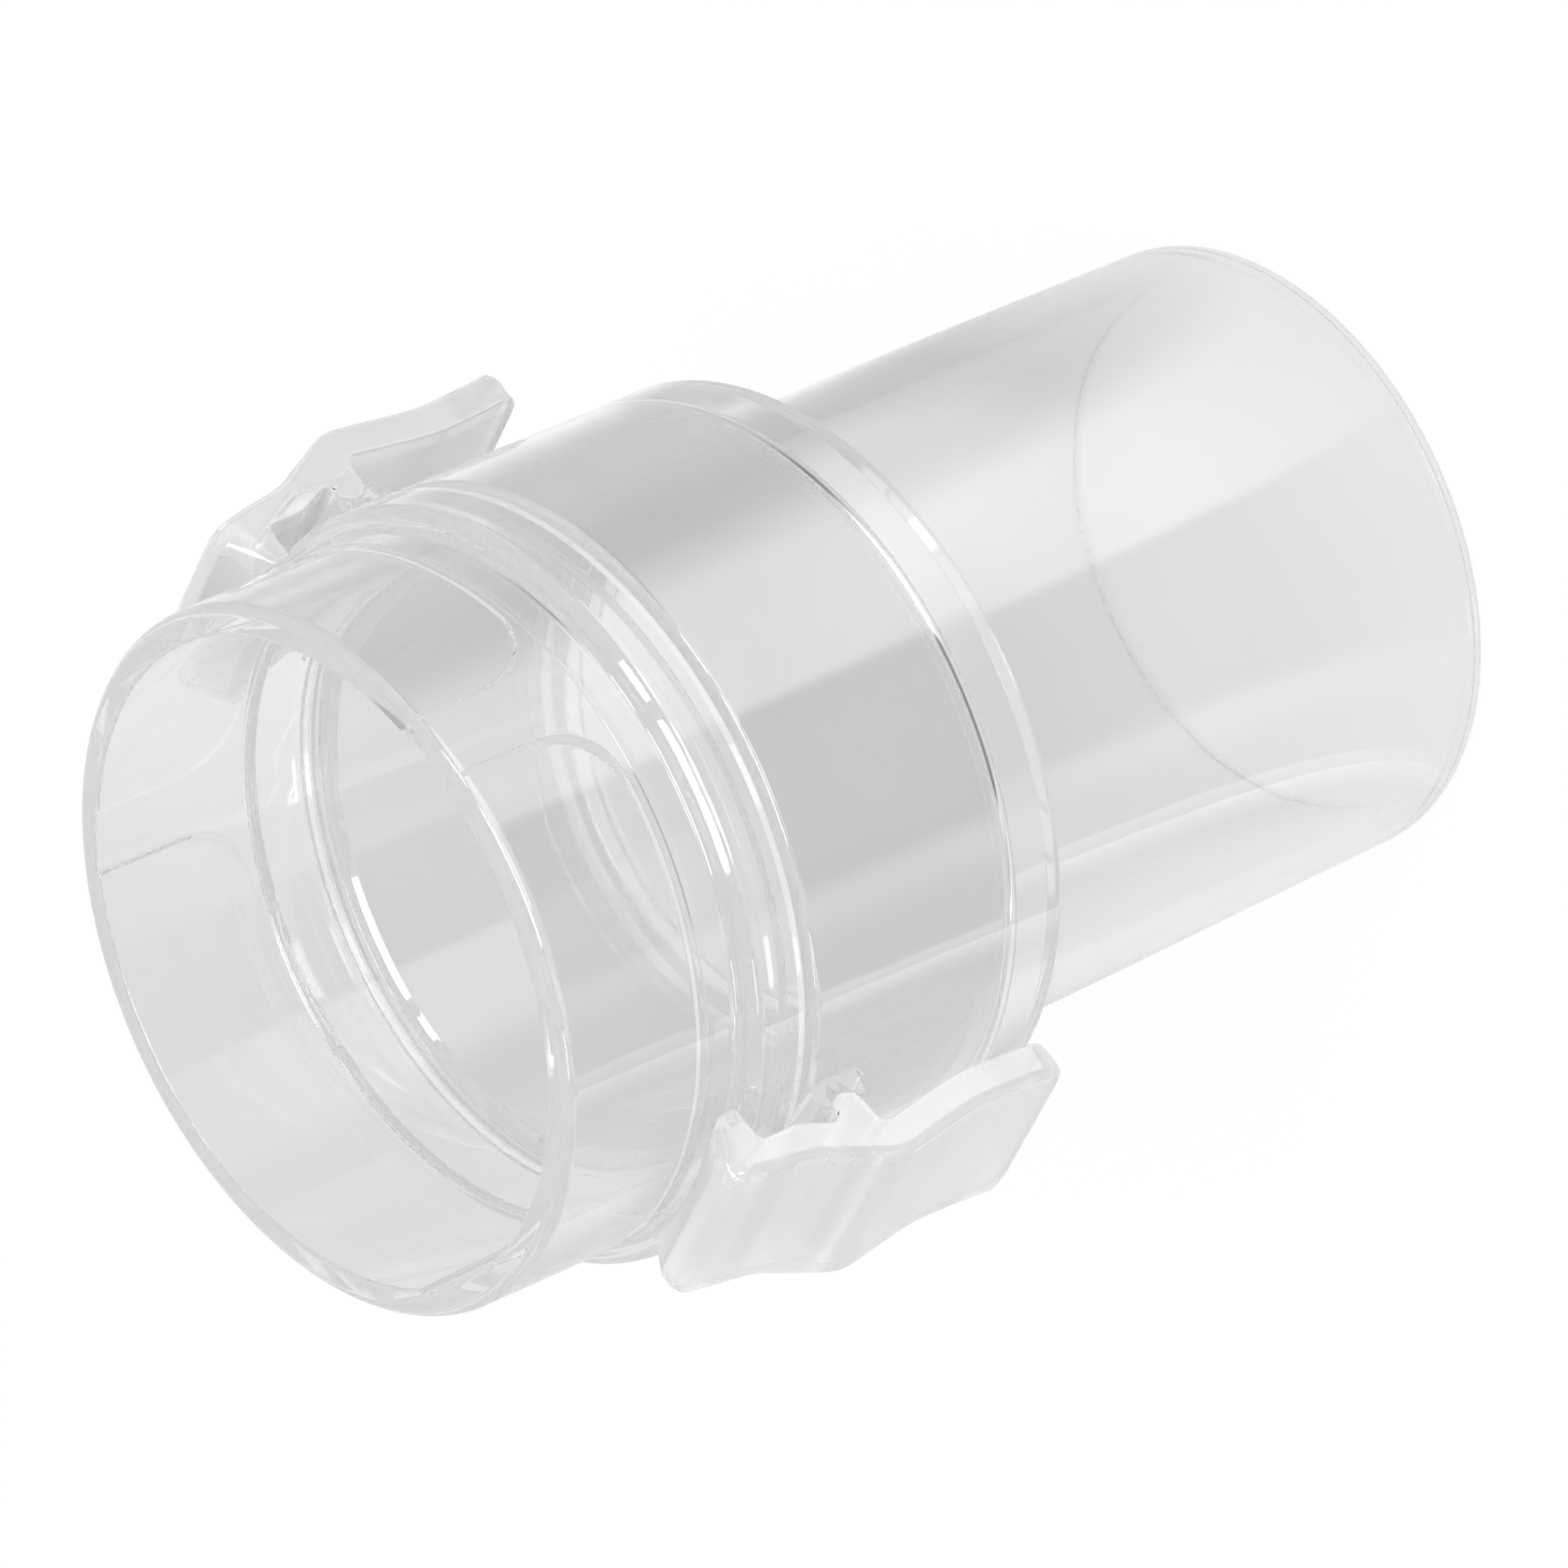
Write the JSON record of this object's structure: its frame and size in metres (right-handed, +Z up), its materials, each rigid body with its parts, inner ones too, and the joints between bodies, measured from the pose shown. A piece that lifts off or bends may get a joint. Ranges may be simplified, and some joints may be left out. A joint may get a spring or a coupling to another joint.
{
  "type": "quick-release swivel tubing connector",
  "caption": "Clear quick-release swivel connector for breathing tubing, with squeeze levers whose hooks hold a turning socket half on the hose half.",
  "frame": {"origin": "centre of the hose tube's open end, which the connector stands on", "axes": "+Z up along the connector's axis, from the hose tube to the socket's mouth; +X out through the right-hand release lever"},
  "size_m": [0.0324, 0.0264, 0.0424],
  "materials": {
    "clear_plastic": "gloss"
  },
  "bodies": {
    "hose_half": {"hose_half": "clear_plastic"},
    "socket_half": {"socket_half": "clear_plastic"},
    "release_lever_right": {"release_lever_right": "clear_plastic"},
    "release_lever_left": {"release_lever_left": "clear_plastic"}
  },
  "joints": [
    {"name": "swivel", "type": "hinge", "parent": "hose_half", "child": "socket_half", "pos_m": [0, 0, 0.0285], "axis": [0, 0, 1], "continuous": true},
    {"name": "right_release", "type": "hinge", "parent": "hose_half", "child": "release_lever_right", "pos_m": [0.01395, 0, 0.0318], "axis": [0, 1, 0], "range_deg": [0, 8], "stiffness_Nm_per_rad": 0.3},
    {"name": "left_release", "type": "hinge", "parent": "hose_half", "child": "release_lever_left", "pos_m": [-0.01395, 0, 0.0318], "axis": [0, -1, 0], "range_deg": [0, 8], "stiffness_Nm_per_rad": 0.3}
  ]
}
